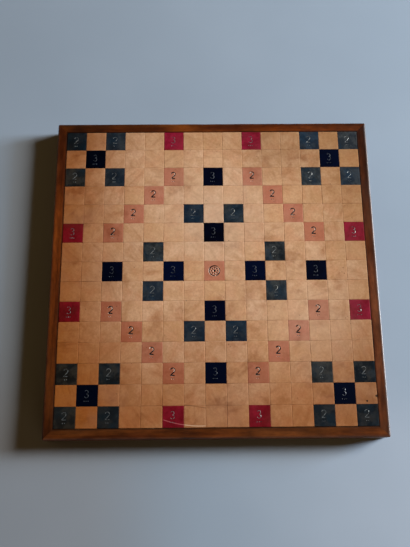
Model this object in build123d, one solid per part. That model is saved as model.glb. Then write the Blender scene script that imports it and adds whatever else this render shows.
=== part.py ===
import os

from build123d import *

# Word game board: leather squares on a panel, held in a mitred wooden frame.
# Millimetres, +Z up, origin at the middle of the underside. The front rail is on the -Y side.

# Playing field
squares_per_side = 15
square_pitch = 22.0  # one playing square, from seam to seam
seam_width = 0.2  # open seam between neighbouring squares
leather_thickness = 2.5
leather_edge_bevel = 0.4  # eased top edge of a leather square

# Frame
rail_width = 10.5
field_gap = 0.5  # groove left between the leather and the rails
leather_proud = 0.2  # the leather stands this far above the rails
corner_round = 1.5  # upright outer corners of the frame
top_outer_round = 1.2
top_inner_round = 0.5
foot_round = 0.8
mitre_key_thickness = 2.0
mitre_key_leg = 12.0  # along each outer face from the corner

# Core panel, tongued into the rails
core_thickness = 9.0
core_clearance = 0.2  # between the panel edge and a rail
tongue_thickness = 4.0
tongue_length = 3.6
tongue_clearance = 0.1

# Stiffening battens between core and base
batten_count = 3
batten_width = 28.0
batten_thickness = 5.0
batten_end_clearance = 0.3

# Base panel in its rebate, and the baize under it
base_thickness = 4.0
rebate_width = 4.5
base_clearance = 0.2
lining_thickness = 1.5
lining_proud = 0.4  # the baize reaches this far below the rails

# Screws through base and battens into the core
screws_per_batten = 3
screw_end_distance = 32.0  # outermost screws to the batten ends
screw_length = 14.0
screw_point = 2.0  # length of the tapered tip
tip_diameter = 0.6
shank_diameter = 2.4
head_diameter = 4.8
head_height = 1.4
slot_width = 0.7
slot_depth = 0.6
screw_clearance = 0.05

# Plan sizes worked out from the above
field_side = squares_per_side * square_pitch
square_side = square_pitch - seam_width
opening_side = field_side + 2 * field_gap
frame_side = opening_side + 2 * rail_width
core_side = opening_side - 2 * core_clearance
groove_side = opening_side + 2 * (tongue_length + tongue_clearance)
tongue_side = opening_side + 2 * tongue_length
rebate_side = opening_side + 2 * rebate_width
base_side = rebate_side - 2 * base_clearance
batten_length = opening_side - 2 * batten_end_clearance
batten_spacing = opening_side / (batten_count + 1)

# Heights worked out from the above
base_bottom = lining_thickness
base_top = base_bottom + base_thickness
core_bottom = base_top + batten_thickness
core_middle = core_bottom + core_thickness / 2
core_top = core_bottom + core_thickness
leather_top = core_top + leather_thickness
rail_bottom = lining_proud
rail_top = leather_top - leather_proud
groove_bottom = core_middle - tongue_thickness / 2 - tongue_clearance
groove_height = tongue_thickness + 2 * tongue_clearance
key_bottom = (base_top + groove_bottom - mitre_key_thickness) / 2

# Square colours as (across, along) offsets from the middle square, repeated in all eight directions
half_count = squares_per_side // 2
dyed_squares = {
    "red": [(half_count, 2)],
    "pink": [(half_count - 2, 2), (half_count - 3, 3)],
    "navy": [(half_count - 1, half_count - 1), (half_count - 2, 0), (2, 0)],
    "teal": [
        (half_count, half_count),
        (half_count, half_count - 2),
        (half_count - 2, half_count - 2),
        (3, 1),
    ],
}

sides = ["front", "right", "back", "left"]
quarter_turn = 90.0
on_base = (Align.CENTER, Align.CENTER, Align.MIN)


def slab(side, bottom, height):
    return Pos(0, 0, bottom) * Box(side, side, height, align=on_base)


def frame_blank():
    # Solid block with the outer form of the frame, its edges eased
    plan = RectangleRounded(frame_side, frame_side, corner_round)
    block = Pos(0, 0, rail_bottom) * extrude(plan, rail_top - rail_bottom)
    block = fillet(block.faces().sort_by(Axis.Z)[-1].edges(), top_outer_round)
    return fillet(block.faces().sort_by(Axis.Z)[0].edges(), foot_round)


def frame_ring():
    # The four rails in one piece: opening, eased inner edge, tongue groove and base rebate
    ring = frame_blank() - slab(opening_side, 0, leather_top)
    inner_edge = ring.faces().sort_by(Axis.Z)[-1].inner_wires()[0].edges()
    ring = fillet(inner_edge, top_inner_round)
    ring = ring - slab(groove_side, groove_bottom, groove_height)
    return ring - slab(rebate_side, 0, base_top)


def mitre_key_prism():
    # Three-cornered feather across the front left mitre, before it is trimmed to the frame
    corner = -frame_side / 2
    outline = Polyline(
        (corner, corner),
        (corner + mitre_key_leg, corner),
        (corner, corner + mitre_key_leg),
        close=True,
    )
    return Pos(0, 0, key_bottom) * extrude(make_face(outline), mitre_key_thickness)


def rail_quarter():
    # Upright wedge that takes the front rail out of the ring along its two mitres
    outline = Polyline((0, 0), (-frame_side, -frame_side), (frame_side, -frame_side), close=True)
    return extrude(make_face(outline), leather_top)


def rails():
    ring = frame_ring()
    for turn in range(len(sides)):
        ring = ring - Rot(0, 0, turn * quarter_turn) * mitre_key_prism()
    quarter = rail_quarter()
    return {
        f"{side}_rail": ring & (Rot(0, 0, turn * quarter_turn) * quarter)
        for turn, side in enumerate(sides)
    }


def mitre_keys():
    key = mitre_key_prism() & frame_blank()
    corners = ["front_left", "front_right", "back_right", "back_left"]
    return {
        f"mitre_key_{corner}": Rot(0, 0, turn * quarter_turn) * key
        for turn, corner in enumerate(corners)
    }


def batten_places():
    first = -batten_spacing * (batten_count - 1) / 2
    return [first + index * batten_spacing for index in range(batten_count)]


def screw_places():
    reach = batten_length / 2 - screw_end_distance
    step = 2 * reach / (screws_per_batten - 1)
    rows = [-reach + index * step for index in range(screws_per_batten)]
    return [(across, along) for across in batten_places() for along in rows]


def screw_body(extra=0.0):
    # Countersunk screw pointing up, head down; extra grows it into the hole that it needs
    shank_radius = shank_diameter / 2 + extra
    head_radius = head_diameter / 2 + extra
    tip_radius = tip_diameter / 2 + extra
    shank_length = screw_length - screw_point
    head = Cone(head_radius, shank_radius, head_height, align=on_base)
    shank = Cylinder(shank_radius, shank_length, align=on_base)
    point = Cone(shank_radius, tip_radius, screw_point + extra, align=on_base)
    return Pos(0, 0, base_bottom) * (head + shank + Pos(0, 0, shank_length) * point)


def base_screw():
    slot = Pos(0, 0, base_bottom) * Box(head_diameter, slot_width, slot_depth, align=on_base)
    return screw_body() - slot


def with_screw_holes(panel):
    hole = screw_body(screw_clearance)
    for across, along in screw_places():
        panel = panel - Pos(across, along, 0) * hole
    return panel


def core_panel():
    panel = slab(core_side, core_bottom, core_thickness)
    tongue = slab(tongue_side, core_middle - tongue_thickness / 2, tongue_thickness)
    return with_screw_holes(panel + tongue)


def battens():
    names = [f"batten_{index + 1}" for index in range(batten_count)]
    bar = Pos(0, 0, base_top) * Box(batten_width, batten_length, batten_thickness, align=on_base)
    places = batten_places()
    return {name: with_screw_holes(Pos(across, 0, 0) * bar) for name, across in zip(names, places)}


def base_panel():
    return with_screw_holes(slab(base_side, base_bottom, base_thickness))


def base_lining():
    return slab(base_side, 0, lining_thickness)


def base_screws():
    screw = base_screw()
    return Compound([Pos(across, along, 0) * screw for across, along in screw_places()])


def leather_square():
    square = slab(square_side, core_top, leather_thickness)
    return chamfer(square.faces().sort_by(Axis.Z)[-1].edges(), leather_edge_bevel)


def square_colour(column, row):
    larger = max(abs(column), abs(row))
    smaller = min(abs(column), abs(row))
    if larger == 0:
        return "centre"
    for colour, offsets in dyed_squares.items():
        if (larger, smaller) in offsets:
            return colour
    return "tan"


def leather_squares():
    # Tan squares go row by row from the front, each dyed colour and the middle square by themselves
    square = leather_square()
    first = -field_side / 2 + square_pitch / 2
    groups = {}
    for row in range(squares_per_side):
        for column in range(squares_per_side):
            colour = square_colour(column - half_count, row - half_count)
            name = f"{colour}_squares"
            if colour == "tan":
                name = f"tan_squares_row_{row + 1:02d}"
            if colour == "centre":
                name = "centre_square"
            place = Pos(first + column * square_pitch, first + row * square_pitch, 0)
            groups.setdefault(name, []).append(place * square)
    return {name: Compound(pieces) for name, pieces in groups.items()}


pieces = {
    **rails(),
    **mitre_keys(),
    "core_panel": core_panel(),
    **battens(),
    "base_panel": base_panel(),
    "base_screws": base_screws(),
    "base_lining": base_lining(),
    **leather_squares(),
}

os.makedirs("parts", exist_ok=True)
for node, shape in pieces.items():
    export_step(shape, f"parts/{node}.step")
print(f"{len(pieces)} pieces, frame {frame_side:.1f} mm square, {leather_top:.1f} mm high")
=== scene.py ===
import math

import bmesh
import bpy
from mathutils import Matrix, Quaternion, Vector, noise


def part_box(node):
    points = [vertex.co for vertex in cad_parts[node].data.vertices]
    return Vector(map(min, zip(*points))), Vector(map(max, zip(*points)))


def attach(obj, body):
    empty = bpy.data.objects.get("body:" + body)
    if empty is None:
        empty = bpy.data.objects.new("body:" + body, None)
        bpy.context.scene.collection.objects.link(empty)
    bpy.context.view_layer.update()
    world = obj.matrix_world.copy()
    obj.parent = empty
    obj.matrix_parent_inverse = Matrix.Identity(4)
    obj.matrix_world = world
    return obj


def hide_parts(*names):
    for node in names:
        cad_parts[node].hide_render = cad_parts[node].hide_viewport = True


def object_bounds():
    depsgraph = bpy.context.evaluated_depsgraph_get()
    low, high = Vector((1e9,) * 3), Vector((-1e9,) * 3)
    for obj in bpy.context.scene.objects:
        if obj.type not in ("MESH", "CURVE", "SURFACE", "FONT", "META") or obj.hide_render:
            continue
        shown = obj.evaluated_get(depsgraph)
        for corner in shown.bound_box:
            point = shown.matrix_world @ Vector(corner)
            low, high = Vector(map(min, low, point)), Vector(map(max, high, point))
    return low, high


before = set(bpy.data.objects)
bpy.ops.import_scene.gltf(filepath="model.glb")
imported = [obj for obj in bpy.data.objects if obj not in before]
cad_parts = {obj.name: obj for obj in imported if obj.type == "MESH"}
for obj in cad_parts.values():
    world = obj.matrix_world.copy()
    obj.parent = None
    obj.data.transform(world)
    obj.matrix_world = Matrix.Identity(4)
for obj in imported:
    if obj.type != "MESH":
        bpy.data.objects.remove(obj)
cadLow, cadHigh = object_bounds()
faceHeight = cadHigh.z  # top of the leather
print("frame loaded,", len(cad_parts), "nodes")


# Colours, written as they look on screen from 0 to 255

def paint(red, green, blue):
    def linear(level):
        share = level / 255
        return share / 12.92 if share <= 0.04045 else ((share + 0.055) / 1.055) ** 2.4
    return (linear(red), linear(green), linear(blue), 1.0)


# Small helpers for node trees

cloudSpan = (0.3, 0.7)  # nearly all of a noise lies between these levels


def feed(socket, value):
    if isinstance(value, bpy.types.NodeSocket):
        socket.id_data.links.new(value, socket)
    else:
        socket.default_value = value


def feedAll(node, inputs):
    for key, value in inputs.items():
        feed(node.inputs[key], value)


def addNode(kind, inputs, **settings):
    # a node goes into the tree of the sockets that feed it
    tree = next(value.id_data for value in inputs.values() if isinstance(value, bpy.types.NodeSocket))
    node = tree.nodes.new(kind)
    for name, value in settings.items():
        setattr(node, name, value)
    feedAll(node, inputs)
    return node


def maths(operation, *values):
    return addNode("ShaderNodeMath", dict(enumerate(values)), operation=operation).outputs[0]


def plus(first, second):
    return maths("ADD", first, second)


def minus(first, second):
    return maths("SUBTRACT", first, second)


def times(first, *others):
    for other in others:
        first = maths("MULTIPLY", first, other)
    return first


def vectorMaths(operation, *values):
    inputs = dict(enumerate(values))
    return addNode("ShaderNodeVectorMath", inputs, operation=operation).outputs["Vector"]


def separate(vector):
    return addNode("ShaderNodeSeparateXYZ", {0: vector}).outputs


def combine(*parts):
    return addNode("ShaderNodeCombineXYZ", dict(enumerate(parts))).outputs[0]


def remap(value, low, high, toLow=0.0, toHigh=1.0):
    # soft step from toLow to toHigh as value goes from low to high
    inputs = {"Value": value, "From Min": low, "From Max": high, "To Min": toLow, "To Max": toHigh}
    return addNode("ShaderNodeMapRange", inputs, interpolation_type="SMOOTHSTEP").outputs["Result"]


def cloud(vector, scale, detail=2.0, roughness=0.5, distortion=0.0):
    inputs = {"Vector": vector, "Scale": scale, "Detail": detail, "Roughness": roughness, "Distortion": distortion}
    return addNode("ShaderNodeTexNoise", inputs).outputs[0]


def patches(vector, sizes, span):
    # where a cloud of these sizes passes from one end of the span to the other
    return remap(cloud(vector, *sizes), *span)


def cells(vector, scale, feature="F1"):
    inputs = {"Vector": vector, "Scale": scale}
    return addNode("ShaderNodeTexVoronoi", inputs, feature=feature).outputs["Distance"]


def whiteNoise(vector):
    return addNode("ShaderNodeTexWhiteNoise", {"Vector": vector}, noise_dimensions="2D").outputs["Value"]


def blend(share, under, over, mode="MIX"):
    inputs = {0: share, 6: under, 7: over}
    return addNode("ShaderNodeMix", inputs, data_type="RGBA", blend_type=mode).outputs[2]


def relief(height, distance, strength):
    inputs = {"Height": height, "Distance": distance, "Strength": strength}
    return addNode("ShaderNodeBump", inputs).outputs["Normal"]


def towards(across, along, way):
    # how far a spot lies in a direction in plan
    return plus(times(across, way[0]), times(along, way[1]))


def flatDistance(across, along, spot=(0.0, 0.0)):
    # distance in plan from a spot
    dx, dy = minus(across, spot[0]), minus(along, spot[1])
    return maths("SQRT", plus(times(dx, dx), times(dy, dy)))


def clearOfSpots(across, along, spots, clear=1.0, ragged=0.0):
    # what round spots leave clear; a spot is its place, its reach and how much it takes at its middle
    for x, y, reach, most in spots:
        away = plus(flatDistance(across, along, (x, y)), ragged)
        clear = times(clear, remap(away, 0.0, reach, 1.0 - most, 1.0))
    return clear


def addSocket(tree, label, way, kind):
    tree.interface.new_socket(name=label, in_out=way, socket_type="NodeSocket" + kind)


def startGroup(name, sizes, results):
    # shader group that takes a place and some sizes, and puts out masks and other values
    tree = bpy.data.node_groups.new(name, "ShaderNodeTree")
    addSocket(tree, "Vector", "INPUT", "Vector")
    for label in sizes:
        addSocket(tree, label, "INPUT", "Float")
    for label in results:
        addSocket(tree, label, "OUTPUT", "Float")
    return tree, tree.nodes.new("NodeGroupInput").outputs, tree.nodes.new("NodeGroupOutput")


def useGroup(group, inputs):
    return addNode("ShaderNodeGroup", inputs, node_tree=group).outputs


def startMaterial(name):
    material = bpy.data.materials.new(name)
    material.use_nodes = True
    nodes = material.node_tree.nodes
    return material, nodes["Principled BSDF"], nodes.new("ShaderNodeTexCoord").outputs["Object"]


# Small helpers for meshes and pieces

def boxSize(node):
    low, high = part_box(node)
    return high - low


def linkPiece(name, data):
    piece = bpy.data.objects.new(name, data)
    bpy.context.scene.collection.objects.link(piece)
    return piece


def fitPiece(piece, nodes):
    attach(piece, "root")
    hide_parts(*nodes)


def oneMaterial(piece, material):
    piece.data.materials.clear()
    piece.data.materials.append(material)


def wallBetween(form, lower, upper, closed=True):
    # faces between two rings of points, or between two open lines
    for index in range(len(lower) if closed else len(lower) - 1):
        after = (index + 1) % len(lower)
        form.faces.new((lower[index], lower[after], upper[after], upper[index]))


def keepMesh(form, name):
    mesh = bpy.data.meshes.new(name)
    form.to_mesh(mesh)
    form.free()
    return mesh


def facedMesh(form, name):
    bmesh.ops.recalc_face_normals(form, faces=form.faces)
    return keepMesh(form, name)


def smoothFaces(mesh, sharpFrom):
    # smooth shading, but for edges that bend by more than this many degrees
    mesh.shade_smooth()
    mesh.set_sharp_from_angle(angle=math.radians(sharpFrom))


def plainMesh(piece):
    # the evaluated result becomes the piece's own mesh, with no modifier left
    graph = bpy.context.evaluated_depsgraph_get()
    made = bpy.data.meshes.new_from_object(piece.evaluated_get(graph), depsgraph=graph)
    piece.modifiers.clear()
    piece.data = made


def cutAway(piece, form):
    # cut a form out of a piece; the cut keeps the form's material index
    tool = linkPiece("tool", form)
    cut = piece.modifiers.new("cut", "BOOLEAN")
    cut.operation = "DIFFERENCE"
    cut.solver = "EXACT"
    cut.material_mode = "INDEX"
    cut.object = tool
    plainMesh(piece)
    bpy.data.objects.remove(tool)


# Sizes of the playing field, read from the frame

tanRows = sorted(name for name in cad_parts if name.startswith("tan_squares"))
squareSize = boxSize("centre_square")
squareThickness = squareSize.z
fullRow = max(boxSize(name).x for name in tanRows)
squarePitch = (fullRow - squareSize.x) / (len(tanRows) - 1)


# Grain of the leather, shared by all squares

hideForms = {  # clouds as scale, detail, roughness and distortion, some with the span in which a mark sets in
    "mottle": (90.0, 5.0, 0.6), "wrinkle": (420.0, 4.0, 0.65), "streak": (1.0, 3.0, 0.55, 0.4),
    "blush": ((60.0, 3.0, 0.6), (0.42, 0.68)), "stain": ((26.0, 4.0, 0.6, 0.5), (0.50, 0.72)),
    "stainPatch": ((70.0, 3.0, 0.6), (0.40, 0.62)), "speckPatch": ((45.0, 2.0), (0.56, 0.64)),
    "seamPatch": ((40.0, 3.0, 0.6), (0.42, 0.64)),  # some seams have closed up
    "seamSpan": (0.93, 0.985), "fibreSpan": (0.32, 0.68), "speckSpan": (0.16, 0.06), "pebbleSpan": (0.0, 0.18),
    "batchShift": (37.0, 11.0, 0.0), "blushShift": (5.1, 2.3, 0.0), "patchShift": (3.7, 1.9, 0.0),
    "streakDraw": (30.0, 210.0, 30.0), "swirlScale": 900.0, "swirlReach": (0.0016, 0.0016, 0.0016),
    "speckScale": 210.0, "poreScale": 1500.0, "poreShare": 0.3, "pebbleScale": 950.0, "pebbleShare": 0.4,
}
halfCell = (0.5, 0.5, 0.5)


def makeHideGrain():
    # mottling, stains, specks and fine grain of a leather square, each square cut its own way from the hide
    results = ("Tone", "Dye", "Edge", "Mottle", "Blush", "Fibre", "Streak", "Stain", "Speck", "Height")
    tree, given, made = startGroup("hideGrain", ("Pitch",), results)
    form, place, pitch = hideForms, given["Vector"], given["Pitch"]
    cell = vectorMaths("DIVIDE", place, combine(pitch, pitch, pitch))
    cell = vectorMaths("ADD", cell, halfCell)
    corner = vectorMaths("FLOOR", cell)
    tone = whiteNoise(corner)
    dye = whiteNoise(vectorMaths("ADD", corner, form["batchShift"]))
    inside = vectorMaths("SUBTRACT", vectorMaths("FRACTION", cell), halfCell)
    out = separate(vectorMaths("ABSOLUTE", inside))
    seam = times(maths("MAXIMUM", out[0], out[1]), 2.0)  # 1 at the edge of the square

    angle = times(tone, math.tau)
    turned = addNode("ShaderNodeVectorRotate", {"Vector": place, "Angle": angle}, rotation_type="Z_AXIS")
    own = vectorMaths("ADD", turned.outputs[0], combine(tone, angle, tone))
    swirl = addNode("ShaderNodeTexNoise", {"Vector": own, "Scale": form["swirlScale"]}).outputs["Color"]
    swirl = vectorMaths("MULTIPLY", vectorMaths("SUBTRACT", swirl, halfCell), form["swirlReach"])

    stain = patches(place, *form["stain"])
    patch = patches(vectorMaths("ADD", place, form["patchShift"]), *form["stainPatch"])
    pits = cells(vectorMaths("ADD", place, swirl), form["speckScale"])
    speck = times(remap(pits, *form["speckSpan"]), patches(place, *form["speckPatch"]))
    wrinkle = cloud(own, *form["wrinkle"])
    pores = times(cells(own, form["poreScale"]), form["poreShare"])
    rims = cells(vectorMaths("ADD", own, swirl), form["pebbleScale"], "DISTANCE_TO_EDGE")
    pebbles = times(remap(rims, *form["pebbleSpan"]), form["pebbleShare"])
    feedAll(made, {
        "Tone": tone, "Dye": dye,
        "Edge": times(remap(seam, *form["seamSpan"]), patches(place, *form["seamPatch"])),
        "Mottle": cloud(own, *form["mottle"]),
        "Blush": patches(vectorMaths("ADD", own, form["blushShift"]), *form["blush"]),
        "Fibre": remap(wrinkle, *form["fibreSpan"]),
        "Streak": cloud(vectorMaths("MULTIPLY", own, form["streakDraw"]), *form["streak"]),
        "Stain": times(stain, patch), "Speck": speck,
        "Height": plus(plus(pores, wrinkle), pebbles),
    })
    return tree


hideGrain = makeHideGrain()


# How the leather has aged across the board, with painted shade: the browning towards the left and front and the
# greying towards the right and back are partly ageing and partly painted shade

ageingAndShade = {
    "patches": (22.0, 4.0, 0.6), "patchShare": 0.06,
    # partly browning, partly painted shade: darker and warmer towards the left and front
    "Brown": {
        "tint": paint(179, 127, 42), "mode": "MULTIPLY",
        "sides": (  # way across the board, where the darkening starts, where it is full, how much
            (-1.0, 0.0, 0.060, 0.170, 0.82), (0.0, -1.0, 0.030, 0.175, 0.60),
            (-0.7, -0.7, 0.090, 0.210, 0.50), (0.7, -0.7, 0.090, 0.210, 0.40),
        ),
        "spots": (
            (-0.020, -0.085, 0.075, 0.24), (-0.125, -0.085, 0.070, 0.32), (-0.060, -0.140, 0.055, 0.26),
            (0.075, -0.150, 0.050, 0.16), (-0.150, 0.145, 0.050, 0.20),
        ),
    },
    # partly greying, partly painted shade: darker and duller towards the right and back
    "Grey": {
        "tint": paint(175, 157, 116), "mode": "MULTIPLY",
        "sides": (
            (1.0, 0.0, 0.070, 0.180, 0.42), (0.0, 1.0, 0.120, 0.170, 0.22), (0.7, 0.7, 0.090, 0.210, 0.48),
        ),
        "spots": ((0.070, 0.140, 0.060, 0.22),),
    },
    "Bleach": {
        "tint": paint(236, 206, 178), "mode": "MIX", "sides": (),
        "spots": ((0.0, 0.064, 0.085, 0.30), (0.105, -0.060, 0.070, 0.14)),
    },
}
agedAndShadedKinds = ("Brown", "Grey", "Bleach")


def makeAgedAndShadedBorder():
    # how far the leather is browned towards the left and front, partly where hands rest and partly as painted shade,
    # greyed towards the right and back, partly as painted shade, and bleached in places
    tree, given, made = startGroup("agedAndShadedBorder", (), agedAndShadedKinds)
    across, along, _ = separate(given["Vector"])
    share = ageingAndShade["patchShare"]
    uneven = patches(given["Vector"], ageingAndShade["patches"], (*cloudSpan, -share, share))
    for kind in agedAndShadedKinds:
        kept = 1.0
        for wayX, wayY, start, end, most in ageingAndShade[kind]["sides"]:
            reach = towards(across, along, (wayX, wayY))
            kept = times(kept, remap(reach, start, end, 1.0, 1.0 - most))
        kept = clearOfSpots(across, along, ageingAndShade[kind]["spots"], kept)
        mask = plus(minus(1.0, kept), uneven)
        feed(made.inputs[kind], addNode("ShaderNodeClamp", {"Value": mask}).outputs[0])
    return tree


agedAndShadedBorder = makeAgedAndShadedBorder()


# Marks that years of play have left on the paler squares

playMarks = {
    "speck": paint(70, 40, 24), "speckShare": 0.6,
    "scratchCentre": (-0.01525, -0.04532), "scratchRadius": 0.11815, "scratchFrom": -0.0538, "scratchTo": -0.0113,
    "scratchWidth": 0.0006, "scratchCore": 0.3, "scratchShare": 0.7,
    "creaseFrom": (-0.0315, -0.1422), "creaseTo": (-0.0111, -0.1454), "creaseWidth": 0.0006, "creaseCore": 0.2,
    "creaseColour": paint(96, 56, 32), "creaseShare": 0.6,
    "dots": ((0.1544, -0.1399, 0.0013), (0.1644, -0.1349, 0.0015)),  # place, radius
    "dotColour": paint(38, 22, 14), "dotCore": 0.5,
    "smudge": paint(140, 84, 44), "smudgeEdge": (160.0, 3.0, 0.6), "smudgeRagged": 0.004,
    "smudges": (  # place, reach, share of colour at the middle
        (-0.0865, -0.0665, 0.0085, 0.50), (0.0405, -0.0955, 0.0095, 0.46), (0.0685, -0.1390, 0.0095, 0.44),
        (0.0395, -0.0645, 0.0105, 0.36), (0.0735, -0.0915, 0.0075, 0.40), (0.0585, 0.0365, 0.0075, 0.34),
        (-0.1145, 0.0635, 0.0120, 0.40), (-0.1395, -0.0295, 0.0075, 0.36), (-0.1275, 0.0955, 0.0090, 0.34),
        (-0.0955, -0.1165, 0.0110, 0.30), (0.0895, 0.1395, 0.0120, 0.30), (-0.0295, -0.0560, 0.0075, 0.30),
    ),
}


def within(value, low, high):
    return times(maths("GREATER_THAN", value, low), maths("LESS_THAN", value, high))


def thinLine(value, width, core):
    # full within the core's share of the width, gone outside the width
    return remap(maths("ABSOLUTE", value), width, width * core)


def scratchMask(across, along):
    # thin curved scrape over the front row of squares
    marks = playMarks
    off = minus(flatDistance(across, along, marks["scratchCentre"]), marks["scratchRadius"])
    line = thinLine(off, marks["scratchWidth"], marks["scratchCore"])
    front = maths("LESS_THAN", along, marks["scratchCentre"][1])
    ends = within(across, marks["scratchFrom"], marks["scratchTo"])
    return times(line, front, ends)


def creaseMask(across, along):
    # short dark crease behind the scrape
    (startX, startY), (endX, endY) = playMarks["creaseFrom"], playMarks["creaseTo"]
    slope = (endY - startY) / (endX - startX)
    line = plus(times(minus(across, startX), slope), startY)
    line = thinLine(minus(along, line), playMarks["creaseWidth"], playMarks["creaseCore"])
    return times(line, within(across, startX, endX))


def makePlayWear():
    tree, given, made = startGroup("playWear", (), ("Smudge", "Scrape", "Crease", "Pinhole"))
    across, along, _ = separate(given["Vector"])
    reach = playMarks["smudgeRagged"]
    ragged = patches(given["Vector"], playMarks["smudgeEdge"], (*cloudSpan, -reach, reach))
    clear = clearOfSpots(across, along, playMarks["smudges"], ragged=ragged)
    pinhole = 0.0
    for x, y, radius in playMarks["dots"]:
        away = flatDistance(across, along, (x, y))
        pinhole = maths("MAXIMUM", pinhole, remap(away, radius, radius * playMarks["dotCore"]))
    feedAll(made, {
        "Smudge": minus(1.0, clear), "Pinhole": pinhole,
        "Scrape": times(scratchMask(across, along), playMarks["scratchShare"]),
        "Crease": times(creaseMask(across, along), playMarks["creaseShare"]),
    })
    return tree


playWear = makePlayWear()


# Leather finishes

hideCommon = {
    "mottleSpan": 0.12, "tintShare": 0.5, "blushShare": 0.45, "stainShare": 0.6, "brownShare": 1.0, "greyShare": 1.0,
    "roughness": 0.58, "shine": 0.08,
}
# the dark dyes take none of the greying, which is partly painted shade, and no bleaching
darkDye = {"greyShare": 0.0, "bleachShare": 0.0, "scrape": None}  # shows no marks of play
hides = {
    "tan": {
        **hideCommon, "pale": paint(226, 184, 149), "deep": paint(203, 158, 119), "tint": paint(211, 161, 114),
        "stain": paint(150, 92, 50), "blush": paint(211, 152, 113), "scrape": paint(226, 192, 160),
        "toneShare": 0.28, "tintShare": 0.6, "fibreShare": 0.24, "streakShare": 0.3, "stainShare": 0.68,
        "edgeShare": 0.42, "bleachShare": 1.0,
    },
    "red": {
        **hideCommon, "pale": paint(164, 40, 76), "deep": paint(124, 11, 37), "tint": paint(148, 22, 32),
        "stain": paint(74, 4, 14), "blush": paint(176, 38, 72), "scrape": paint(184, 98, 100),
        "toneShare": 0.4, "blushShare": 0.5, "fibreShare": 0.2, "streakShare": 0.35,
        "edgeShare": 0.12, "bleachShare": 0.2, "roughness": 0.55, "shine": 0.06,
    },
    "pink": {
        **hideCommon, "pale": paint(198, 137, 111), "deep": paint(175, 107, 81), "tint": paint(189, 115, 83),
        "stain": paint(138, 72, 46), "blush": paint(196, 118, 96), "scrape": paint(226, 180, 150),
        "mottleSpan": 0.15, "toneShare": 0.35, "fibreShare": 0.16, "streakShare": 0.2,
        "edgeShare": 0.35, "bleachShare": 0.6,
    },
    "navy": {
        **hideCommon, **darkDye, "pale": paint(2, 4, 20), "deep": paint(1, 1, 6), "tint": paint(3, 18, 54),
        "stain": paint(1, 1, 4), "blush": paint(4, 14, 40),
        "toneShare": 0.45, "blushShare": 0.3, "fibreShare": 0.2, "streakShare": 0.3, "stainShare": 0.4,
        "edgeShare": 0.03, "brownShare": 0.78, "shine": 0.02,
    },
    "teal": {
        **hideCommon, **darkDye, "pale": paint(74, 76, 74), "deep": paint(10, 15, 20), "tint": paint(14, 40, 64),
        "stain": paint(10, 11, 13), "blush": paint(24, 54, 76),
        "mottleSpan": 0.08, "toneShare": 0.45, "tintShare": 0.6, "fibreShare": 0.3, "streakShare": 0.45,
        "edgeShare": 0.05, "brownShare": 0.76, "roughness": 0.56, "shine": 0.05,
    },
}
hideFinish = {
    "streakSpan": (0.46, 0.80), "glossSpan": (0.25, 0.75), "glossLess": 0.07, "glossMore": 0.10,
    "seamPale": paint(224, 182, 146), "seamDark": paint(140, 88, 52), "reliefDepth": 0.00008, "reliefStrength": 0.6,
}


def hideColour(look, grain, place):
    span, tone = look["mottleSpan"], look["toneShare"]
    mottle = times(remap(grain["Mottle"], 0.5 - span, 0.5 + span), 1 - tone)
    colour = blend(plus(mottle, times(grain["Tone"], tone)), look["pale"], look["deep"])
    streaks = remap(grain["Streak"], *hideFinish["streakSpan"])
    rim = blend(remap(grain["Dye"], *cloudSpan), hideFinish["seamPale"], hideFinish["seamDark"])
    for mask, share, tint in (
        (grain["Dye"], "tintShare", look["tint"]), (grain["Blush"], "blushShare", look["blush"]),
        (grain["Fibre"], "fibreShare", look["stain"]), (streaks, "streakShare", look["stain"]),
        (grain["Stain"], "stainShare", look["stain"]), (grain["Edge"], "edgeShare", rim),
    ):
        colour = blend(times(mask, look[share]), colour, tint)
    agedAndShaded = useGroup(agedAndShadedBorder, {"Vector": place})
    # the browning and greying from the border group carry painted shade as well as ageing
    for kind in agedAndShadedKinds:
        share = times(agedAndShaded[kind], look[kind.lower() + "Share"])
        colour = blend(share, colour, ageingAndShade[kind]["tint"], ageingAndShade[kind]["mode"])
    return colour


def addPlayMarks(look, grain, place, colour):
    worn = useGroup(playWear, {"Vector": place})
    for mask, tint in (
        (times(grain["Speck"], playMarks["speckShare"]), playMarks["speck"]),
        (worn["Smudge"], playMarks["smudge"]), (worn["Scrape"], look["scrape"]),
        (worn["Crease"], playMarks["creaseColour"]), (worn["Pinhole"], playMarks["dotColour"]),
    ):
        colour = blend(mask, colour, tint)
    return colour


def leatherOf(name):
    look, finish = hides[name], hideFinish
    material, shader, place = startMaterial(name + "Leather")
    grain = useGroup(hideGrain, {"Vector": place, "Pitch": squarePitch})
    colour = hideColour(look, grain, place)
    if look["scrape"]:
        colour = addPlayMarks(look, grain, place, colour)
    gloss = (look["roughness"] - finish["glossLess"], look["roughness"] + finish["glossMore"])
    feedAll(shader, {
        "Base Color": colour, "Roughness": remap(grain["Mottle"], *finish["glossSpan"], *gloss),
        "Normal": relief(grain["Height"], finish["reliefDepth"], finish["reliefStrength"]),
        "Specular IOR Level": look["shine"],
    })
    return material


# Foil or pigment in the tooled marks, rubbed through in places, with a painted highlight on one groove wall of the
# dark pigment

foils = {
    "silverFoil": {
        "whole": paint(158, 160, 158), "rubbed": paint(50, 52, 54), "rubbedSpan": (0.36, 0.64),
        "roughness": 0.36, "metallic": 0.75, "highlightWall": None,
    },
    "dimFoil": {
        "whole": paint(116, 120, 126), "rubbed": paint(42, 45, 52), "rubbedSpan": (0.36, 0.64),
        "roughness": 0.38, "metallic": 0.75, "highlightWall": None,
    },
    "darkFoil": {
        "whole": paint(24, 11, 8), "rubbed": paint(240, 204, 182), "rubbedSpan": (0.60, 0.68),
        "roughness": 0.3, "metallic": 0.0,
        "highlightWall": (0.8, 0.6),  # painted highlight: the groove wall that faces this way, towards the lamps, takes the pale colour
    },
}
foilWear = {"patches": (320.0, 3.0, 0.6), "highlightWallSpan": (0.2, 0.5), "rougher": 0.2}


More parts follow.
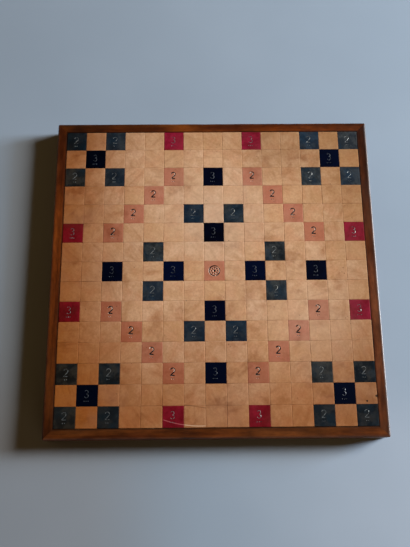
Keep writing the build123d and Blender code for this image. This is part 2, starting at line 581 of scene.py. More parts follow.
def foilOf(name):
    look = foils[name]
    material, shader, place = startMaterial(name)
    worn = patches(place, foilWear["patches"], look["rubbedSpan"])
    # painted highlight: the wall that faces the lamps gets the pale rubbed colour
    if look["highlightWall"]:
        geometry = material.node_tree.nodes.new("ShaderNodeNewGeometry")
        across, along, _ = separate(geometry.outputs["Normal"])
        paintedHighlight = remap(towards(across, along, look["highlightWall"]), *foilWear["highlightWallSpan"])
        worn = maths("MAXIMUM", worn, paintedHighlight)
    feedAll(shader, {
        "Base Color": blend(worn, look["whole"], look["rubbed"]), "Metallic": look["metallic"],
        "Roughness": remap(worn, 0.0, 1.0, look["roughness"], look["roughness"] + foilWear["rougher"]),
    })
    return material


leather = {name: leatherOf(name) for name in hides}
foil = {name: foilOf(name) for name in foils}
print("leather and foil made:", len(bpy.data.materials))


# Leather squares: one eased plate, laid over the field by a node tree

plate = {
    "seam": 0.00004,  # open line between neighbours, drawn closer than their easing allows
    "edgeRound": 0.00018, "edgeSteps": 3, "cornerRound": 0.0004, "cornerSteps": 2,
    "softRim": 0.0010,  # where the flat of the square begins
    "sharpFrom": 35,
}


def ringPoints(half, height):
    # square with rounded corners, as points in order round it
    points, radius, steps = [], plate["cornerRound"], plate["cornerSteps"]
    for corner in range(4):
        middle = Quaternion((0, 0, 1), corner * math.pi / 2) @ Vector((half - radius, half - radius, 0))
        for step in range(steps + 1):
            angle = corner * math.pi / 2 + step / steps * math.pi / 2
            points.append((middle.x + radius * math.cos(angle), middle.y + radius * math.sin(angle), height))
    return points


def plateMesh(name):
    half, top, easing = (squarePitch - plate["seam"]) / 2, squareThickness, plate["edgeRound"]
    rings = [ringPoints(half, 0.0)]
    for step in range(plate["edgeSteps"] + 1):
        angle = step / plate["edgeSteps"] * math.pi / 2
        rings.append(ringPoints(half - easing * (1 - math.cos(angle)), top - easing + easing * math.sin(angle)))
    rings.append(ringPoints(half - plate["softRim"], top))
    form = bmesh.new()
    loops = [[form.verts.new(point) for point in ring] for ring in rings]
    for lower, upper in zip(loops, loops[1:]):
        wallBetween(form, lower, upper)
    form.faces.new(loops[-1])
    form.faces.new(list(reversed(loops[0])))
    return keepMesh(form, name)


# Tooled numerals and pips, pressed into the dyed squares

tooling = {
    "lift": 0.00014,  # the round tool's centre stands this far above the leather
    "weld": 0.000001,  # points that a cut leaves closer than this are merged
    "height": 0.0076, "width": 0.0044, "numeralPlace": (-0.0006, 0.0016),
    "twoBowl": (165, -35), "threeShares": (0.235, 0.265), "threeUpper": (155, -95), "threeLower": (95, -155),
    "pipRow": -0.0056, "pipGap": 0.0020, "pipRadius": 0.00058,
    "ringRadius": 0.0056, "ringStroke": 0.00072, "ringSteps": 24,
    "ringDots": 8, "dotRadius": 0.00095, "dotCircle": 0.0033, "middleDot": 1.6,
}


def arc(centre, radius, start, end, steps=10):
    angles = [math.radians(start + (end - start) * step / steps) for step in range(steps + 1)]
    return [(centre[0] + radius * math.cos(angle), centre[1] + radius * math.sin(angle)) for angle in angles]


def numeralTwo():
    half, tall = tooling["width"] / 2, tooling["height"] / 2
    bowl = arc((0, tall - half), half, *tooling["twoBowl"])
    return [bowl + [(-half, -tall)], [(-half, -tall), (half, -tall)]]


def numeralThree():
    tall = tooling["height"]
    upper, lower = (share * tall for share in tooling["threeShares"])
    waist = tall / 2 - 2 * upper
    return [
        arc((0, waist + upper), upper, *tooling["threeUpper"]),
        arc((0, waist - lower), lower, *tooling["threeLower"]),
    ]


def strokeMesh(points, place, radius, closed=False):
    # round bar along a line, which presses the groove of a stroke
    curve = bpy.data.curves.new("stroke", "CURVE")
    curve.dimensions = "3D"
    curve.bevel_depth = radius
    curve.bevel_resolution = 2
    curve.use_fill_caps = True
    spline = curve.splines.new("POLY")
    spline.points.add(len(points) - 1)
    spline.use_cyclic_u = closed
    for spot, point in zip(spline.points, points):
        spot.co = (point[0] + place[0], point[1] + place[1], squareThickness + tooling["lift"], 1.0)
    carrier = bpy.data.objects.new("stroke", curve)
    mesh = bpy.data.meshes.new_from_object(carrier)
    bpy.data.objects.remove(carrier)
    bpy.data.curves.remove(curve)
    return mesh


def ballMesh(place, radius):
    ball = bmesh.new()
    made = bmesh.ops.create_icosphere(ball, subdivisions=2, radius=radius)
    bmesh.ops.translate(ball, verts=made["verts"], vec=(place[0], place[1], squareThickness + tooling["lift"]))
    return keepMesh(ball, "pip")


def numeralTools(strokes, pips, radius):
    first = -tooling["pipGap"] * (pips - 1) / 2 + tooling["numeralPlace"][0]
    row = [(first + index * tooling["pipGap"], tooling["pipRow"]) for index in range(pips)]
    bars = [strokeMesh(points, tooling["numeralPlace"], radius) for points in strokes]
    return bars + [ballMesh(place, tooling["pipRadius"]) for place in row]


def ringTools():
    steps, count, reach = tooling["ringSteps"], tooling["ringDots"], tooling["dotCircle"]
    ring = arc((0, 0), tooling["ringRadius"], 0, 360 - 360 / steps, steps - 1)
    tools = [strokeMesh(ring, (0, 0), tooling["ringStroke"], True)]
    for index in range(count):
        turn = index / count * math.tau
        tools.append(ballMesh((reach * math.cos(turn), reach * math.sin(turn)), tooling["dotRadius"]))
    return tools + [ballMesh((0, 0), tooling["dotRadius"] * tooling["middleDot"])]


def pressTool(square, tool):
    # the groove that a tool leaves takes the square's second material
    for material in square.data.materials:
        tool.materials.append(material)
    for face in tool.polygons:
        face.material_index = 1
    cutAway(square, tool)


def weld(mesh):
    form = bmesh.new()
    form.from_mesh(mesh)
    bmesh.ops.remove_doubles(form, verts=form.verts, dist=tooling["weld"])
    form.to_mesh(mesh)
    form.free()


def makeSquare(name, leatherKind, foilKind=None, tools=()):
    square = linkPiece(name, plateMesh(name))
    square.data.materials.append(leatherKind)
    if tools:
        square.data.materials.append(foilKind)
    for tool in tools:
        pressTool(square, tool)
    weld(square.data)
    smoothFaces(square.data, plate["sharpFrom"])
    return square


# Laying the squares

laying = {"shift": 0.00002, "sink": 0.00008, "turn": math.radians(0.06)}


def randomBetween(least, most, seed):
    inputs = {0: least, 1: most, "Seed": seed}
    return addNode("FunctionNodeRandomValue", inputs, data_type="FLOAT_VECTOR").outputs[0]


def setMaterialAt(geometry, index, slot, material):
    # gives the faces of one material index their material
    chosen = addNode("FunctionNodeCompare", {2: index, 3: slot}, data_type="INT", operation="EQUAL").outputs[0]
    inputs = {"Geometry": geometry, "Selection": chosen, "Material": material}
    return addNode("GeometryNodeSetMaterial", inputs).outputs[0]


def makeLayingTree():
    # sets one square on each point, a little turned, shifted and sunk, as hand-laid squares are
    tree = bpy.data.node_groups.new("laySquares", "GeometryNodeTree")
    for label, kind in (
        ("Places", "Geometry"), ("Square", "Object"), ("Shift", "Float"), ("Sink", "Float"), ("Turn", "Float"),
        ("Seed", "Int"), ("Leather", "Material"), ("Foil", "Material"),
    ):
        addSocket(tree, label, "INPUT", kind)
    addSocket(tree, "Geometry", "OUTPUT", "Geometry")
    given = tree.nodes.new("NodeGroupInput").outputs
    back, down, left = (times(given[name], -1.0) for name in ("Shift", "Sink", "Turn"))
    least = combine(back, back, down)
    most = combine(given["Shift"], given["Shift"], 0.0)
    shift = randomBetween(least, most, given["Seed"])
    turn = randomBetween(combine(0.0, 0.0, left), combine(0.0, 0.0, given["Turn"]), given["Seed"])
    moved = addNode("GeometryNodeSetPosition", {"Geometry": given["Places"], "Offset": shift})
    square = addNode("GeometryNodeObjectInfo", {"Object": given["Square"]})
    laid = addNode("GeometryNodeInstanceOnPoints", {
        "Points": moved.outputs[0], "Instance": square.outputs["Geometry"], "Rotation": turn,
    })
    solid = addNode("GeometryNodeRealizeInstances", {"Geometry": laid.outputs[0]}).outputs[0]
    index = tree.nodes.new("GeometryNodeInputMaterialIndex").outputs[0]
    foiled = setMaterialAt(solid, index, 1, given["Foil"])
    faced = setMaterialAt(foiled, index, 0, given["Leather"])
    tree.links.new(faced, tree.nodes.new("NodeGroupOutput").inputs[0])
    return tree


layingTree = makeLayingTree()


def setInputs(modifier, values):
    # a node modifier's inputs go by each socket's identifier
    sockets = modifier.node_group.interface.items_tree
    names = {item.name: item.identifier for item in sockets if item.in_out == "INPUT"}
    for name, value in values.items():
        modifier[names[name]] = value


def squareCentres(nodes):
    spots = set()
    for node in nodes:
        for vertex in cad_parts[node].data.vertices:
            spots.add((round(vertex.co.x / squarePitch), round(vertex.co.y / squarePitch)))
    seat = faceHeight - squareThickness
    return [(column * squarePitch, row * squarePitch, seat) for column, row in sorted(spots)]


def laySquares(name, square, nodes, leatherKind, foilKind, seed):
    places = bpy.data.meshes.new(name)
    places.from_pydata(squareCentres(nodes), [], [])
    piece = linkPiece(name, places)
    modifier = piece.modifiers.new("laySquares", "NODES")
    modifier.node_group = layingTree
    setInputs(modifier, {
        "Square": square, "Shift": laying["shift"], "Sink": laying["sink"], "Turn": laying["turn"],
        "Seed": seed, "Leather": leatherKind, "Foil": foilKind or leatherKind,
    })
    plainMesh(piece)
    while len(piece.data.materials) > (2 if foilKind else 1):
        piece.data.materials.pop()  # slot that no face uses
    bpy.data.objects.remove(square)
    fitPiece(piece, nodes)
    print("laid", name, len(piece.data.polygons), "faces")


silver, dim, dark = (foil[name] for name in ("silverFoil", "dimFoil", "darkFoil"))
laySquares("tanSquares", makeSquare("tanSquare", leather["tan"]), tanRows, leather["tan"], None, 3)
dyedKinds = {  # numeral, pips, radius of the tool's edge, foil, seed
    "red": (numeralThree, 3, 0.00034, silver, 11),
    "pink": (numeralTwo, 2, 0.00072, dark, 17),
    "navy": (numeralThree, 3, 0.00034, dim, 23),
    "teal": (numeralTwo, 2, 0.00035, silver, 29),
}
for kind, (numeral, pips, edge, foilKind, seed) in dyedKinds.items():
    square = makeSquare(kind + "Square", leather[kind], foilKind, numeralTools(numeral(), pips, edge))
    laySquares(kind + "Squares", square, [kind + "_squares"], leather[kind], foilKind, seed)
centre = makeSquare("centrePlate", leather["pink"], dark, ringTools())
laySquares("centreSquare", centre, ["centre_square"], leather["pink"], dark, 5)


# Figure of the timber, shared by all woods

woodForms = {  # clouds: scale, detail, roughness, distortion
    "figure": (9.0, 6.0, 0.62, 0.35), "ribbon": (9.0, 2.0, 0.5, 0.6), "ribbonDraw": (0.6, 0.35, 0.35),
    "pores": (22.0, 2.0, 0.5), "poreDraw": (2.0, 7.0, 7.0), "poreSpan": (0.60, 0.70),
    "figureRelief": 0.3, "poreRelief": 0.5, "reliefStrength": 0.5,
}


def makeWoodFigure():
    # figure, pores and relief of timber whose grain runs along X of the given vector
    tree, given, made = startGroup("woodFigure", ("Spread",), ("Figure", "Ribbon", "Pores", "Height"))
    form, spread = woodForms, given["Spread"]
    drawn = vectorMaths("MULTIPLY", given["Vector"], combine(1.0, spread, spread))
    figure = cloud(drawn, *form["figure"])
    ribbon = cloud(vectorMaths("MULTIPLY", drawn, form["ribbonDraw"]), *form["ribbon"])
    pores = patches(vectorMaths("MULTIPLY", drawn, form["poreDraw"]), form["pores"], form["poreSpan"])
    height = minus(times(figure, form["figureRelief"]), times(pores, form["poreRelief"]))
    feedAll(made, {"Figure": figure, "Ribbon": ribbon, "Pores": pores, "Height": height})
    return tree


woodFigure = makeWoodFigure()


# Frame rails: the profile drawn along each side, mitred at the ends, with rubbed edges

railSizes = {
    "width": boxSize("front_rail").y, "bottom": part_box("front_rail")[0].z, "top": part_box("front_rail")[1].z,
    "topRound": 0.0012, "innerRound": 0.0002, "footRound": 0.0008, "cornerRound": 0.0015, "leastRound": 0.00002,
    "grooveBottom": 0.0129, "grooveTop": 0.0171, "grooveDepth": 0.0037,
    "rebateTop": 0.0055, "rebateWidth": 0.0045,
    "stations": 150, "cornerStations": 5, "mitreGap": 0.00003, "kerfPlay": 0.00004, "kerfBeyond": 0.001,
    "sharpFrom": 32,
}
railWear = {
    "rub": 0.00018, "rubSize": 0.02, "rubLevel": 0.25, "dent": 0.00006, "dentSize": 0.045,
    "nickDepth": 0.0009, "nickReach": 0.0026, "nickFrom": 0.9, "nickHeight": 0.001,  # on the inner edge
    "lipFrom": 0.95, "lipHandled": 0.3,
}


def profileArc(middle, radius, start, end, steps, handled=1.0):
    return [(depth, height, handled) for depth, height in arc(middle, radius, start, end, steps)]


def railProfile():
    # (depth in from the outer face, height, how much the spot is handled)
    width, bottom, top = railSizes["width"], railSizes["bottom"], railSizes["top"]
    foot, shoulder, lip = railSizes["footRound"], railSizes["topRound"], railSizes["innerRound"]
    side = [(0.0, bottom + (top - bottom) * share, 0.0) for share in (0.25, 0.5, 0.75)]
    crown = [(width * share, top, 0.0) for share in (0.25, 0.4, 0.55, 0.7, 0.85)]
    groove, rebate = width - railSizes["grooveDepth"], width - railSizes["rebateWidth"]
    grooveBottom, grooveTop, rebateTop = (railSizes[name] for name in ("grooveBottom", "grooveTop", "rebateTop"))
    hidden = [
        (width, grooveTop, 0.0), (groove, grooveTop, 0.0), (groove, grooveBottom, 0.0), (width, grooveBottom, 0.0),
        (width, rebateTop, 0.0), (rebate, rebateTop, 0.0), (rebate, bottom, 0.0),
    ]
    return (
        profileArc((foot, bottom + foot), foot, 270, 180, 3) + side
        + profileArc((shoulder, top - shoulder), shoulder, 180, 90, 5) + crown
        + profileArc((width - lip, top - lip), lip, 90, 0, 2, railWear["lipHandled"]) + hidden
    )


def railStation(share, depth):
    # plan point of the front rail: along its straight run, then round half of each corner
    half = cadHigh.x - depth
    radius = max(railSizes["cornerRound"] - depth, railSizes["leastRound"])
    straight = half - radius
    if abs(share) <= 1:
        return share * straight, -half
    angle = (abs(share) - 1) * math.pi / 4
    return math.copysign(straight + radius * math.sin(angle), share), -straight - radius * math.cos(angle)


def railShares():
    count, corner = railSizes["stations"], railSizes["cornerStations"]
    run = [-1 + 2 * index / count for index in range(count + 1)]
    bend = [1 + (index + 1) / corner for index in range(corner)]
    return [-share for share in reversed(bend)] + run + bend


def rubbing(place, handled, seed):
    # how far a spot is worn in: handled edges more, faces hardly
    spot = Vector(place) + Vector((seed, seed * 0.7, 0))
    rough = noise.fractal(spot / railWear["rubSize"], 1.0, 2.0, 3) + railWear["rubLevel"]
    dent = max(0.0, noise.noise(spot / railWear["dentSize"])) * railWear["dent"]
    return max(0.0, rough) * railWear["rub"] * handled + dent


def nicked(place, depth, height, nick):
    # depth of the knock in a rail's inner edge at this spot
    inner = depth > railSizes["width"] * railWear["nickFrom"]
    if nick is None or not inner or height <= railSizes["top"] - railWear["nickHeight"]:
        return 0.0
    return max(0.0, 1 - abs(place - nick) / railWear["nickReach"]) * railWear["nickDepth"]


def railMesh(name, turn, seed, nick):
    profile, width = railProfile(), railSizes["width"]
    middle = Vector((width * 0.5, (railSizes["bottom"] + railSizes["top"]) / 2))
    spin = Quaternion((0, 0, 1), turn)
    shorter = 1 - railSizes["mitreGap"] / cadHigh.x
    form = bmesh.new()
    wear = form.verts.layers.float.new("wear")
    grimeAndShade = form.verts.layers.float.new("grimeAndShade")
    rows = []
    for share in railShares():
        row = []
        for depth, height, handled in profile:
            x, y = railStation(share, depth)
            worn = rubbing((x, y, height), handled, seed) + nicked(x, depth, height, nick)
            inwards = Vector((middle.x - depth, middle.y - height)).normalized() * worn
            x, y = railStation(share, depth + inwards.x)
            vertex = form.verts.new(spin @ Vector((x * shorter, y, height + inwards.y)))
            vertex[wear] = handled
            # marks the inner lip, which takes painted shade for the shaded gap by the leather
            vertex[grimeAndShade] = 1.0 if depth > width * railWear["lipFrom"] else 0.0
            row.append(vertex)
        rows.append(row)
    for before, after in zip(rows, rows[1:]):
        wallBetween(form, before, after)
    form.faces.new(rows[0])
    form.faces.new(list(reversed(rows[-1])))
    return facedMesh(form, name)


def kerfMesh(node):
    # three-cornered saw cut that a mitre key sits in, a little larger than the key and open to the outside
    low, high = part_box(node)
    play, beyond = railSizes["kerfPlay"], railSizes["kerfBeyond"]
    outX, outY = math.copysign(1, low.x + high.x), math.copysign(1, low.y + high.y)
    farX, farY = max(abs(low.x), abs(high.x)) + beyond, max(abs(low.y), abs(high.y)) + beyond
    leg = high.x - low.x + play + 2 * beyond
    plan = [(farX, farY), (farX - leg, farY), (farX, farY - leg)]
    form = bmesh.new()
    floor, roof = (
        [form.verts.new((x * outX, y * outY, height)) for x, y in plan] for height in (low.z - play, high.z + play)
    )
    form.faces.new(floor)
    form.faces.new(roof)
    wallBetween(form, floor, roof)
    return facedMesh(form, "kerf")


# Varnished wood of the rails

frameTimber = {
    "dark": paint(62, 23, 5), "mid": paint(90, 41, 12), "light": paint(120, 64, 27), "pore": paint(34, 12, 4),
    # grimeAndShade is the dark colour for grime and for painted shade on the edges and the inner lip
    "worn": paint(142, 84, 48), "grimeAndShade": paint(28, 10, 3), "spread": 11.0,
    "figureSpan": (0.35, 0.62), "ribbonSpan": (0.48, 0.80), "poreShare": 0.55, "wornShare": 0.18, "edgeShare": 0.4,
    "rubbed": ((60.0, 5.0, 0.65), (0.40, 0.66)),
    "endReach": 0.172, "endPatches": ((30.0, 3.0, 0.6), (0.3, 0.6, 0.75, 1.0)),
    "stains": (  # broad blotches and fine flecks: drawing out along the grain, cloud, share
        ((27.0, 80.0, 80.0), (1.0, 4.0, 0.65), 0.29), ((130.0, 340.0, 340.0), (1.0, 3.0, 0.6), 0.17),
    ),
    "gloss": ((35.0, 4.0, 0.6), (*cloudSpan, 0.34, 0.52)), "wornRougher": 0.18, "reliefDepth": 0.00008,
    "shine": 0.1, "coatRoughness": 0.42, "coatIor": 1.8,
}


def vertexMask(material, name):
    node = material.node_tree.nodes.new("ShaderNodeAttribute")
    node.attribute_name = name
    return node.outputs["Fac"]


def endShade(along, place, ends):
    # a rail is darker towards its ends, not equally at both
    shade = 0.0
    for way, (most, start) in zip((-1.0, 1.0), ends):
        shade = plus(shade, remap(times(along, way), start, frameTimber["endReach"], 0.0, most))
    return times(shade, patches(place, *frameTimber["endPatches"]))


def unevenStain(mapped):
    # the varnish has taken unevenly
    shade = 1.0
    for draw, sizes, share in frameTimber["stains"]:
        drawn = vectorMaths("MULTIPLY", mapped, draw)
        shade = times(shade, patches(drawn, sizes, (*cloudSpan, 1 - share, 1 + share)))
    return shade


def frameWood(name, rail):
    look, slide = frameTimber, rail["slide"]
    material, shader, place = startMaterial(name)
    turned = {"Vector": place, "Location": slide, "Rotation": (0, 0, -rail["turn"])}
    mapped = addNode("ShaderNodeMapping", turned).outputs[0]
    alongRail, acrossRail, _ = separate(mapped)
    along = minus(alongRail, slide[0])
    depth = plus(acrossRail, cadHigh.x - slide[1])  # in from the outer face
    wood = useGroup(woodFigure, {"Vector": mapped, "Spread": look["spread"]})
    edge = vertexMask(material, "wear")
    worn = times(edge, patches(mapped, *look["rubbed"]))
    # painted light and shade: each rail lighter or darker from its outer edge to its inner edge by how the light
    # falls on it
    lean = remap(depth, 0.0, railSizes["width"], *rail["lean"])

    colour = blend(remap(wood["Figure"], *look["figureSpan"]), look["dark"], look["mid"])
    for share, over, mode in (
        (remap(wood["Ribbon"], *look["ribbonSpan"]), look["light"], "MIX"),
        (times(wood["Pores"], look["poreShare"]), look["pore"], "MIX"),
        # painted light and shade: each rail's tone, with a painted bluish sheen on the right rail
        (1.0, (*rail["tone"], 1.0), "MULTIPLY"),
        (1.0, times(lean, unevenStain(mapped)), "MULTIPLY"),
        (endShade(along, place, rail["ends"]), look["grimeAndShade"], "MIX"),
        # painted shade on the rounded edges, partly grime
        (times(edge, look["edgeShare"]), look["grimeAndShade"], "MIX"),
        (times(worn, look["wornShare"]), look["worn"], "MIX"),
        # painted shade along the inner lip, in the gap by the leather
        (times(vertexMask(material, "grimeAndShade"), rail["lipGrime"]), look["grimeAndShade"], "MIX"),
    ):
        colour = blend(share, colour, over, mode)
    gloss = patches(mapped, *look["gloss"])
    feedAll(shader, {
        "Base Color": colour, "Roughness": plus(gloss, times(worn, look["wornRougher"])),
        "Normal": relief(wood["Height"], look["reliefDepth"], woodForms["reliefStrength"]),
        "Specular IOR Level": look["shine"],
        "Coat Weight": times(edge, rail["edgeCoat"]),  # hands have polished the edges
        "Coat Roughness": look["coatRoughness"], "Coat IOR": look["coatIor"],
    })
    return material


# tone and lean are painted light and shade on each rail, with a painted bluish sheen on the right rail
railKinds = {
    "frontRail": {
        "node": "front_rail", "turn": 0.0, "slide": (0.0, 0.0, 0.0),
        "tone": (0.98, 1.12, 1.17), "ends": ((0.25, 0.08), (0.0, 0.08)),
        "lean": (1.28, 0.84), "lipGrime": 0.6, "edgeCoat": 0.25,
        "seed": 1.3, "nick": None, "keys": ("front_left", "front_right"),
    },
    "rightRail": {
        "node": "right_rail", "turn": math.pi / 2, "slide": (0.31, 0.17, 0.05),
        "tone": (0.83, 0.92, 1.48), "ends": ((0.3, 0.09), (0.70, -0.07)),
        "lean": (0.66, 1.42), "lipGrime": 0.0, "edgeCoat": 0.85,
        "seed": 4.1, "nick": -0.1349, "keys": ("front_right", "back_right"),
    },
    "backRail": {
        "node": "back_rail", "turn": math.pi, "slide": (0.74, 0.43, 0.02),
        "tone": (1.46, 1.38, 1.05), "ends": ((0.6, 0.09), (0.9, 0.0)),
        "lean": (0.74, 1.20), "lipGrime": 0.7, "edgeCoat": 0.1,
        "seed": 7.9, "nick": None, "keys": ("back_right", "back_left"),
    },
    "leftRail": {
        "node": "left_rail", "turn": -math.pi / 2, "slide": (0.52, 0.29, 0.08),
        "tone": (1.58, 1.6, 1.4), "ends": ((0.45, 0.09), (0.8, 0.0)),
        "lean": (1.14, 0.95), "lipGrime": 0.6, "edgeCoat": 0.1,
        "seed": 11.6, "nick": None, "keys": ("back_left", "front_left"),
    },
}
for name, kind in railKinds.items():
    rail = linkPiece(name, railMesh(name, kind["turn"], kind["seed"], kind["nick"]))
    for key in kind["keys"]:
        cutAway(rail, kerfMesh("mitre_key_" + key))
    smoothFaces(rail.data, railSizes["sharpFrom"])
    oneMaterial(rail, frameWood(name + "Wood", kind))
    fitPiece(rail, [kind["node"]])
    print("rail", name, len(rail.data.polygons), "faces")


# Baize under the base

baize = {
    "rows": 40, "wave": 0.00012, "waveSize": 0.012, "rim": 0.0003, "sharpFrom": 40,
    "nap": (900.0, 5.0, 0.7), "lay": ((1.0, 3.0, 0.6), (0.45, 0.75, 0.0, 0.4)), "layDraw": (40.0, 160.0, 40.0),
    "deep": paint(24, 58, 42), "pale": paint(44, 84, 62), "laid": paint(18, 44, 32), "roughness": (0.86, 0.98),
    "reliefDepth": 0.0004, "reliefStrength": 0.7, "sheen": 0.35, "sheenRoughness": 0.5,
}


def baizeCloth():
    material, shader, place = startMaterial("baizeCloth")
    nap = cloud(place, *baize["nap"])
    lay = patches(vectorMaths("MULTIPLY", place, baize["layDraw"]), *baize["lay"])
    colour = blend(remap(nap, *cloudSpan), baize["deep"], baize["pale"])
    feedAll(shader, {
        "Base Color": blend(lay, colour, baize["laid"]),
        "Roughness": remap(nap, *cloudSpan, *baize["roughness"]),
        "Normal": relief(nap, baize["reliefDepth"], baize["reliefStrength"]),
        "Sheen Weight": baize["sheen"], "Sheen Roughness": baize["sheenRoughness"],
    })
    return material


def liningMesh():
    # flat cloth with a wavy lower face and a raised rim
    low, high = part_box("base_lining")
    count = baize["rows"]
    form = bmesh.new()
    under = [[None] * (count + 1) for _ in range(count + 1)]
    over = [[None] * (count + 1) for _ in range(count + 1)]
    for row in range(count + 1):
        y = low.y + (high.y - low.y) * (row / count)
        for column in range(count + 1):
            x = low.x + (high.x - low.x) * (column / count)
            rim = column in (0, count) or row in (0, count)
            ripple = (noise.noise(Vector((x, y, 0)) / baize["waveSize"]) + 1) / 2 * baize["wave"]
            under[row][column] = form.verts.new((x, y, low.z + (baize["rim"] if rim else ripple)))
            over[row][column] = form.verts.new((x, y, high.z))
    for face in (under, over):
        for near, far in zip(face, face[1:]):
            wallBetween(form, near, far, closed=False)
    for end in (0, -1):
        wallBetween(form, under[end], over[end], closed=False)
        wallBetween(form, [row[end] for row in under], [row[end] for row in over], closed=False)
    mesh = facedMesh(form, "baizeLining")
    smoothFaces(mesh, baize["sharpFrom"])
    return mesh


lining = linkPiece("baizeLining", liningMesh())
oneMaterial(lining, baizeCloth())
fitPiece(lining, ["base_lining"])
print("baize lining made")


# Inner pieces keep their solids and get their finishes

bareTimbers = {
    "panel": {"pale": paint(206, 172, 126), "deep": paint(170, 128, 84), "spread": 9.0, "roughness": 0.6},
    "batten": {"pale": paint(200, 160, 108), "deep": paint(158, 112, 68), "spread": 10.0, "roughness": 0.65},
    "key": {"pale": paint(112, 60, 32), "deep": paint(78, 38, 20), "spread": 12.0, "roughness": 0.38},
}
bareFinish = {
    "figureSpan": (0.34, 0.66), "poreShare": 0.4, "glossLess": 0.06, "glossMore": 0.08, "reliefDepth": 0.0001,
}
brass = {
    "bright": paint(205, 164, 92), "dull": paint(140, 104, 58), "dulled": ((350.0, 4.0, 0.6), (0.35, 0.7)),
    "roughness": (0.28, 0.5),
}


def bareWood(name, kind, turn):
    look, finish = bareTimbers[kind], bareFinish
    material, shader, place = startMaterial(name)
    mapped = addNode("ShaderNodeMapping", {"Vector": place, "Rotation": (0, 0, turn)}).outputs[0]
    wood = useGroup(woodFigure, {"Vector": mapped, "Spread": look["spread"]})
    colour = blend(remap(wood["Figure"], *finish["figureSpan"]), look["pale"], look["deep"])
    gloss = (look["roughness"] - finish["glossLess"], look["roughness"] + finish["glossMore"])
    feedAll(shader, {
        "Base Color": blend(times(wood["Pores"], finish["poreShare"]), colour, look["deep"]),
        "Roughness": remap(wood["Ribbon"], *cloudSpan, *gloss),
        "Normal": relief(wood["Height"], finish["reliefDepth"], woodForms["reliefStrength"]),
    })
    return material


def screwBrass():
    material, shader, place = startMaterial("screwBrass")
    dulled = patches(place, *brass["dulled"])
    feedAll(shader, {
        "Base Color": blend(dulled, brass["bright"], brass["dull"]), "Metallic": 1.0,
        "Roughness": remap(dulled, 0.0, 1.0, *brass["roughness"]),
    })
    return material


panelWood, battenWood = bareWood("panelWood", "panel", 0.0), bareWood("battenWood", "batten", math.pi / 2)
innerFinishes = {"core_panel": panelWood, "base_panel": panelWood, "base_screws": screwBrass()}
keyTurns = {  # the grain of a key runs across its mitre
    "front_left": -math.pi / 4, "back_right": -math.pi / 4, "front_right": math.pi / 4, "back_left": math.pi / 4,
}
for corner, turn in keyTurns.items():
    innerFinishes["mitre_key_" + corner] = bareWood("keyWood" + corner.title().replace("_", ""), "key", turn)
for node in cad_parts:
    if node.startswith("batten"):
        innerFinishes[node] = battenWood
for node, finish in innerFinishes.items():
    oneMaterial(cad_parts[node], finish)
print("inner finishes:", len(innerFinishes))


# Floor, light and camera

backdrop = {
    "pale": (0.34, 0.41, 0.49, 1.0),  # seen near the horizon, and in place of the floor further out
    "overhead": (0.10, 0.11, 0.12, 1.0), "riseSpan": (0.12, 0.55), "fill": (0.058, 0.028, 0.006, 1.0),
    "floorHalf": 12.0, "fade": (0.46, 1.1), "floorRoughness": 0.9,
    "floor": ((5.0, 3.0, 0.5), cloudSpan), "floorDeep": paint(152, 167, 183), "floorPale": paint(157, 172, 188),
    "shadeTints": (  # painted shade on the floor in front to the left and painted light to the right: tint, reach across, reach along
        ((0.88, 0.80, 0.745, 1.0), (-0.01, -0.14), (-0.06, -0.20)),
        ((1.19, 1.14, 1.12, 1.0), (-0.03, 0.20), (-0.10, -0.19)),
    ),
}


def seenDirectly(tree):
    # camera, mirror and glass rays, which see the backdrop in place of the light
    path = tree.nodes.new("ShaderNodeLightPath").outputs
    seen = maths("MAXIMUM", path["Is Camera Ray"], path["Is Glossy Ray"])
    return maths("MAXIMUM", seen, path["Is Transmission Ray"])


def floorPaper():
    material, shader, place = startMaterial("floorPaper")
    across, along, _ = separate(place)
    colour = blend(patches(place, *backdrop["floor"]), backdrop["floorDeep"], backdrop["floorPale"])
    # painted shade and painted light on the floor
    for tint, reachAcross, reachAlong in backdrop["shadeTints"]:
        mask = times(remap(across, *reachAcross), remap(along, *reachAlong))
        colour = blend(mask, colour, tint, "MULTIPLY")
    feedAll(shader, {
        "Base Color": colour, "Roughness": backdrop["floorRoughness"], "Specular IOR Level": 0.0,
    })
    tree = material.node_tree
    far = remap(flatDistance(across, along), *backdrop["fade"])
    glow = tree.nodes.new("ShaderNodeEmission")
    glow.inputs["Color"].default_value = backdrop["pale"]
    inputs = {0: times(far, seenDirectly(tree)), 1: shader.outputs[0], 2: glow.outputs[0]}
    mixed = addNode("ShaderNodeMixShader", inputs).outputs[0]
    tree.links.new(mixed, tree.nodes["Material Output"].inputs["Surface"])
    return material


def makeFloor():
    half = backdrop["floorHalf"]
    corners = [(-half, -half, 0), (half, -half, 0), (half, half, 0), (-half, half, 0)]
    mesh = bpy.data.meshes.new("floor")
    mesh.from_pydata(corners, [], [(0, 1, 2, 3)])
    floor = linkPiece("floor", mesh)
    oneMaterial(floor, floorPaper())


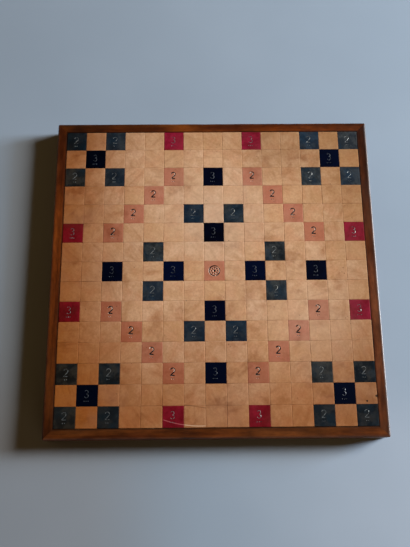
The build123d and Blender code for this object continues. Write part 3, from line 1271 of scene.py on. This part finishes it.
def makeWorld():
    world = bpy.data.worlds.new("studio")
    world.use_nodes = True
    tree = world.node_tree
    rise = separate(tree.nodes.new("ShaderNodeTexCoord").outputs["Generated"])[2]
    sky = blend(remap(rise, *backdrop["riseSpan"]), backdrop["pale"], backdrop["overhead"])
    colour = blend(seenDirectly(tree), backdrop["fill"], sky)
    feedAll(tree.nodes["Background"], {"Strength": 1.0, "Color": colour})
    bpy.context.scene.world = world


lighting = {  # place, width, height, power, colour
    "keyHigh": ((2.308, 0.706, 1.421), 0.9, 0.64, 67.0, (1.0, 0.924, 0.848)),
    "keyLow": ((2.643, 0.514, 0.772), 0.7, 0.78, 132.0, (0.73, 0.874, 1.0)),
    "frontFill": ((0.85, -1.9, 0.40), 1.2, 0.6, 4.5, (1.0, 0.72, 0.42)),
    "sideFill": ((-1.9, 0.7, 0.40), 1.2, 0.6, 4.2, (1.0, 0.65, 0.35)),
}
viewpoint = {
    "place": (-0.0182, -0.2097, 0.7128), "aim": (-0.0101, -0.0030, 0.0),  # from the middle of the playing face
    "roll": 1.73, "lens": 45.42,
}


def softbox(name, place, width, height, power, colour):
    # lamp that looks at the middle of the board
    data = bpy.data.lights.new(name, "AREA")
    data.shape = "RECTANGLE"
    data.size = width
    data.size_y = height
    data.energy = power
    data.color = colour
    lamp = linkPiece(name, data)
    lamp.location = place
    lamp.rotation_euler = (-Vector(place)).to_track_quat("-Z", "Y").to_euler()


def makeCamera():
    rise = Vector((0, 0, faceHeight))
    place, aim = Vector(viewpoint["place"]) + rise, Vector(viewpoint["aim"]) + rise
    data = bpy.data.cameras.new("viewCamera")
    data.lens = viewpoint["lens"]
    camera = linkPiece("viewCamera", data)
    camera.location = place
    roll = Quaternion((0, 0, 1), math.radians(viewpoint["roll"]))
    camera.rotation_mode = "QUATERNION"
    camera.rotation_quaternion = (aim - place).to_track_quat("-Z", "Y") @ roll
    bpy.context.scene.camera = camera


makeFloor()
makeWorld()
for name, lamp in lighting.items():
    softbox(name, *lamp)
makeCamera()
bpy.context.scene.view_settings.view_transform = "Standard"
print("stage set")
